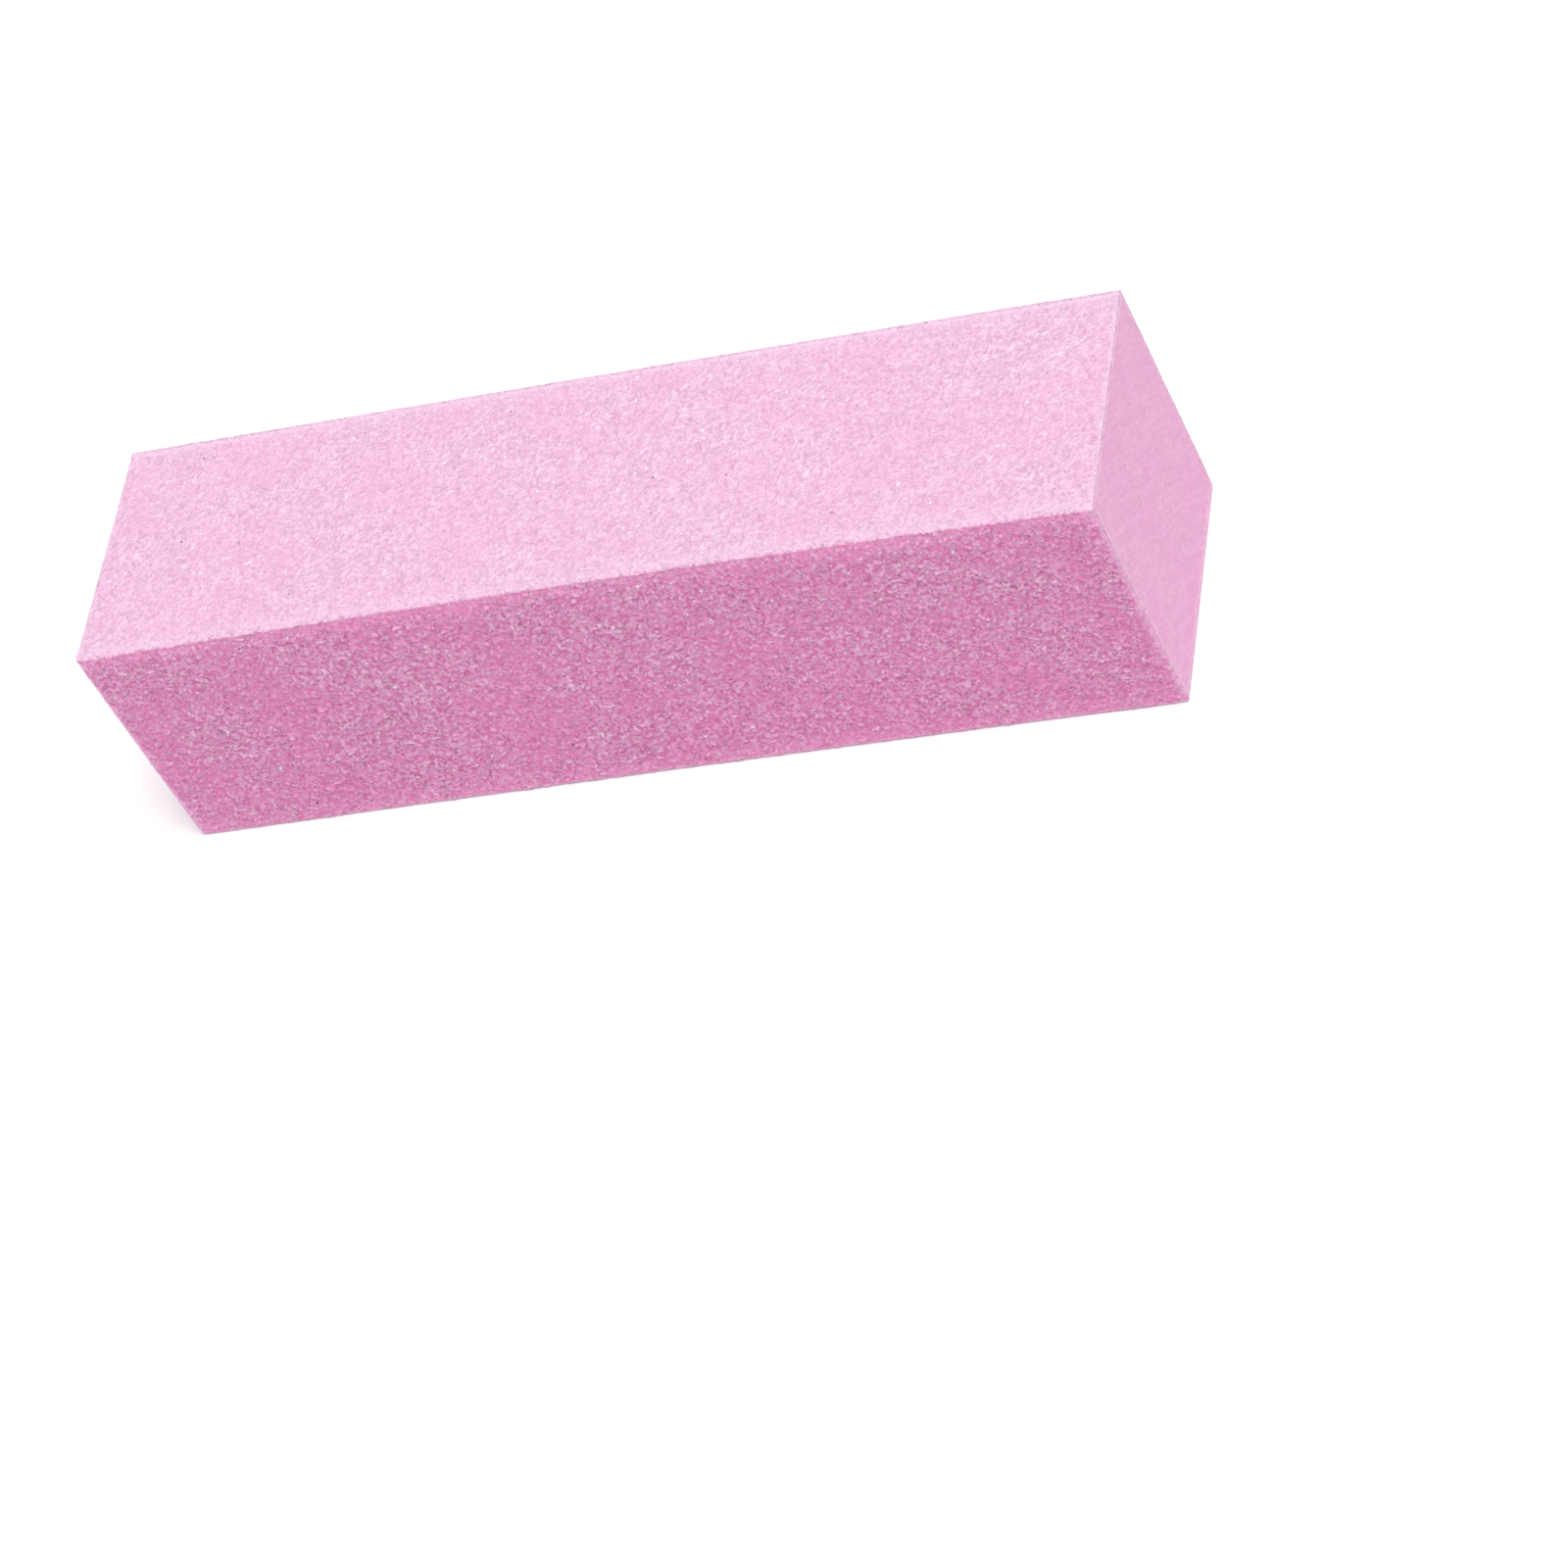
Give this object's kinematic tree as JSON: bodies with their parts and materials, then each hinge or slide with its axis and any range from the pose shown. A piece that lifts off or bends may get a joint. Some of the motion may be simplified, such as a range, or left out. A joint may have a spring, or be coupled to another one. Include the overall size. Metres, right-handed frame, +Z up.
{
  "type": "nail buffer block",
  "caption": "Rectangular foam buffing block for nails: fine and coarse grit coats on opposite pairs of long faces, bare cut foam on both ends.",
  "frame": {"origin": "centre of the bottom face, which is the face it rests on", "axes": "+X along the block's length, towards one cut end; +Y from the front coarse face to the back coarse face; +Z up, from the bottom fine face to the top fine face"},
  "size_m": [0.095, 0.025, 0.026],
  "materials": {
    "foam": "matte",
    "bond_film": "matte",
    "fine_grit": "matte",
    "coarse_grit": "matte"
  },
  "bodies": {
    "root": {"foam_core": "foam", "bond_film_top": "bond_film", "bond_film_bottom": "bond_film", "bond_film_front": "bond_film", "bond_film_back": "bond_film", "fine_grit_coat_top": "fine_grit", "fine_grit_coat_bottom": "fine_grit", "coarse_grit_coat_front": "coarse_grit", "coarse_grit_coat_back": "coarse_grit"}
  },
  "joints": []
}
